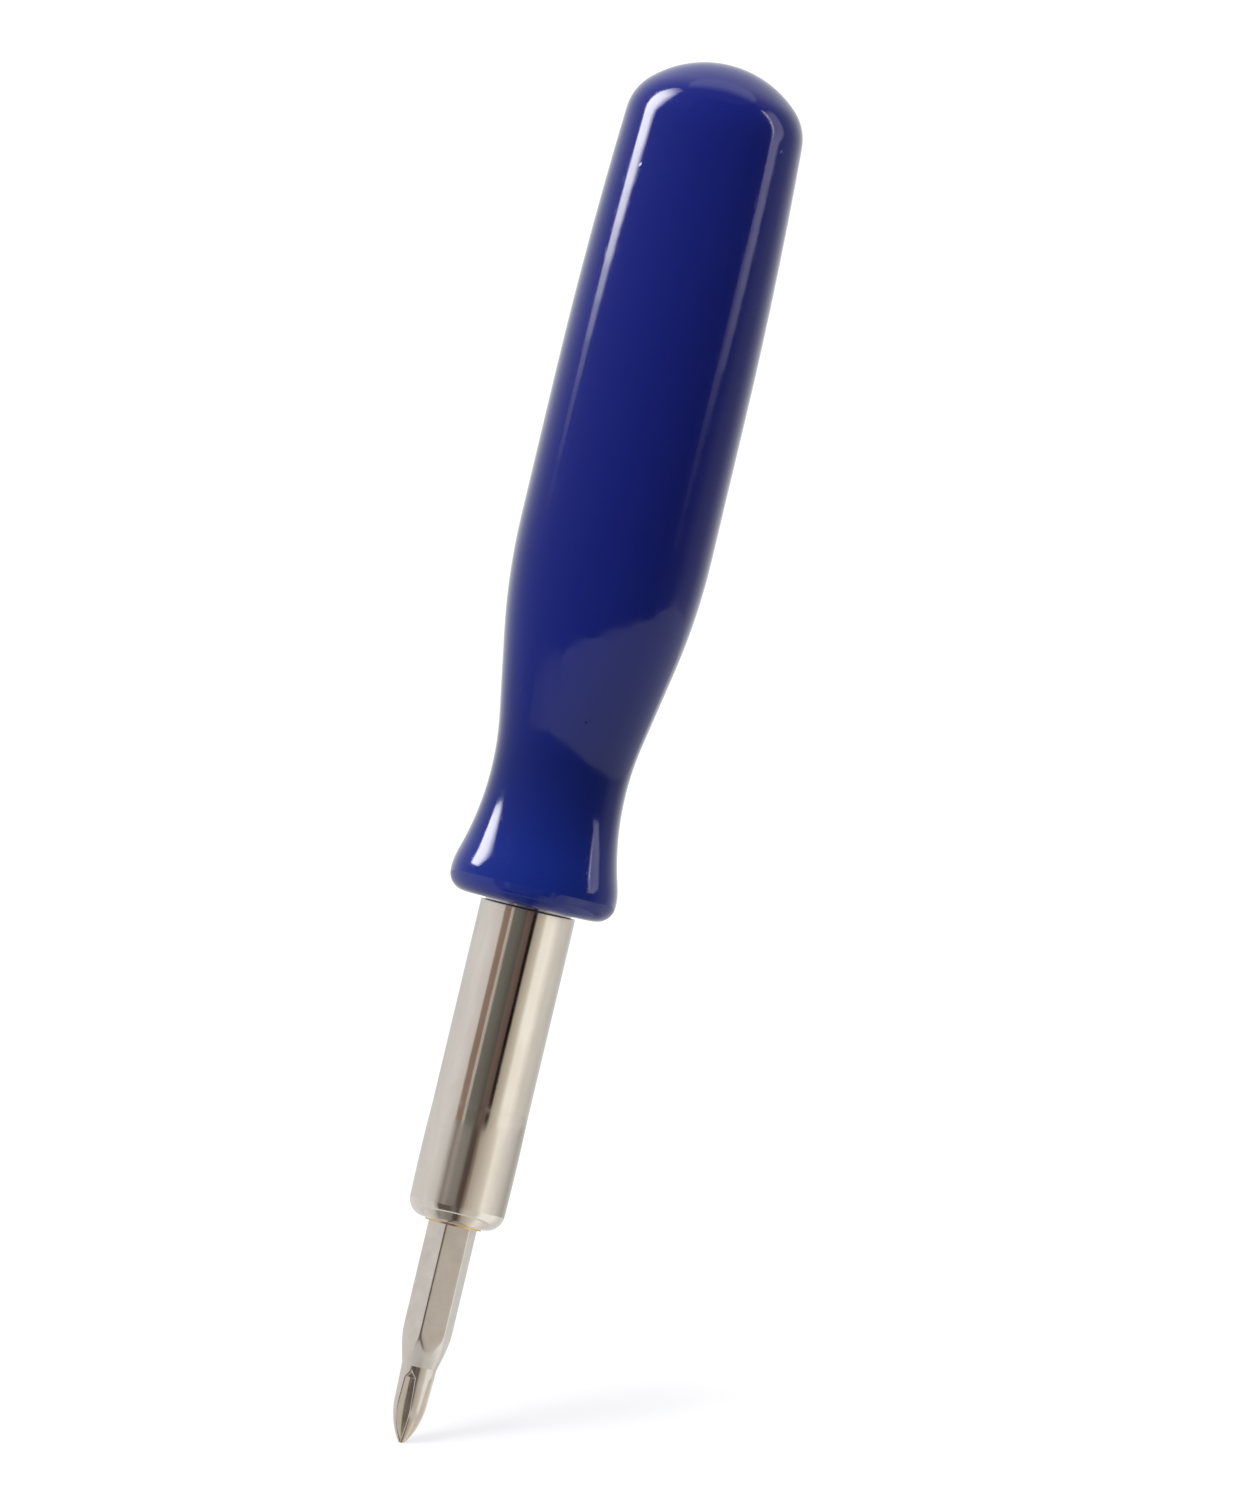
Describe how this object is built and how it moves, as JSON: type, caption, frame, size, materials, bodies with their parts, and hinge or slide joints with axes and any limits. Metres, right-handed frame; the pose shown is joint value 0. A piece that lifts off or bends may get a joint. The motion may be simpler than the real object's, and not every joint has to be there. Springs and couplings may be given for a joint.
{
  "type": "pocket precision screwdriver",
  "caption": "Small straight screwdriver with a moulded handle, a plated tubular shank and a reversible hex bit with a cross point and a slotted blade.",
  "frame": {"origin": "point of the cross end of the bit, on the tool's axis", "axes": "+Z along the tool's axis from the point to the crown of the handle; -Y towards the side that the picture shows"},
  "size_m": [0.0082, 0.0082, 0.06],
  "materials": {
    "handle_plastic": "gloss moulded, faintly translucent",
    "sleeve_nickel": "bright nickel plate",
    "bush_brass": "turned",
    "magnet_nickel": "nickel plate",
    "plug_steel": "turned",
    "bit_steel": "satin nickel plate"
  },
  "bodies": {
    "driver": {"handle": "handle_plastic", "shank_sleeve": "sleeve_nickel", "hex_bush": "bush_brass", "bit_magnet": "magnet_nickel", "thrust_plug": "plug_steel"},
    "bit": {"reversible_bit": "bit_steel"}
  },
  "joints": [
    {"name": "bit_pull", "type": "slide", "parent": "driver", "child": "bit", "axis": [0, 0, -1], "range_m": [0, 0.016]}
  ]
}
